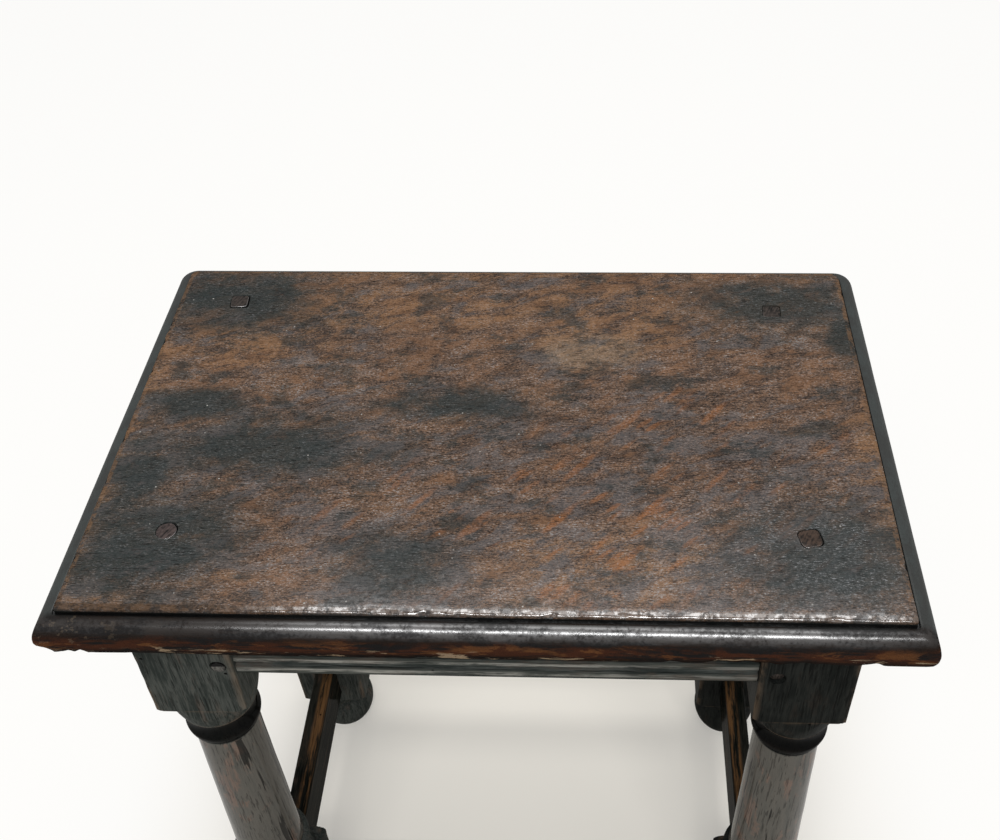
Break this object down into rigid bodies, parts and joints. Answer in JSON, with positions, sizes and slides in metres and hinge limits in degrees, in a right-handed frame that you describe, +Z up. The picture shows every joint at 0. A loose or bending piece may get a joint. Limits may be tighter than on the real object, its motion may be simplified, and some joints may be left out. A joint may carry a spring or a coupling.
{
  "type": "joint stool",
  "caption": "Oak joint stool with a moulded seat board pegged to a joined frame of raked turned legs, beaded frieze rails and low stretchers.",
  "frame": {"origin": "on the floor, under the middle of the seat", "axes": "+Z up, +X to the right along the seat's length, +Y to the back"},
  "size_m": [0.45, 0.298, 0.5],
  "materials": {
    "seat_oak": "dark waxed patina, gloss",
    "leg_oak": "dark grey-brown patina, satin",
    "rail_oak": "dark brown patina, satin",
    "peg_oak": "worn end grain, matte"
  },
  "bodies": {
    "root": {"frieze_peg_back_left_face_lower": "peg_oak", "frieze_peg_back_left_face_upper": "peg_oak", "frieze_peg_back_left_side_lower": "peg_oak", "frieze_peg_back_left_side_upper": "peg_oak", "frieze_peg_back_right_face_lower": "peg_oak", "frieze_peg_back_right_face_upper": "peg_oak", "frieze_peg_back_right_side_lower": "peg_oak", "frieze_peg_back_right_side_upper": "peg_oak", "frieze_peg_front_left_face_lower": "peg_oak", "frieze_peg_front_left_face_upper": "peg_oak", "frieze_peg_front_left_side_lower": "peg_oak", "frieze_peg_front_left_side_upper": "peg_oak", "frieze_peg_front_right_face_lower": "peg_oak", "frieze_peg_front_right_face_upper": "peg_oak", "frieze_peg_front_right_side_lower": "peg_oak", "frieze_peg_front_right_side_upper": "peg_oak", "frieze_rail_back": "rail_oak", "frieze_rail_front": "rail_oak", "frieze_rail_left": "rail_oak", "frieze_rail_right": "rail_oak", "leg_back_left": "leg_oak", "leg_back_right": "leg_oak", "leg_front_left": "leg_oak", "leg_front_right": "leg_oak", "seat_peg_back_left": "peg_oak", "seat_peg_back_right": "peg_oak", "seat_peg_front_left": "peg_oak", "seat_peg_front_right": "peg_oak", "seat_top": "seat_oak", "stretcher_back": "rail_oak", "stretcher_front": "rail_oak", "stretcher_left": "rail_oak", "stretcher_peg_back_left_face": "peg_oak", "stretcher_peg_back_left_side": "peg_oak", "stretcher_peg_back_right_face": "peg_oak", "stretcher_peg_back_right_side": "peg_oak", "stretcher_peg_front_left_face": "peg_oak", "stretcher_peg_front_left_side": "peg_oak", "stretcher_peg_front_right_face": "peg_oak", "stretcher_peg_front_right_side": "peg_oak", "stretcher_right": "rail_oak"}
  },
  "joints": []
}
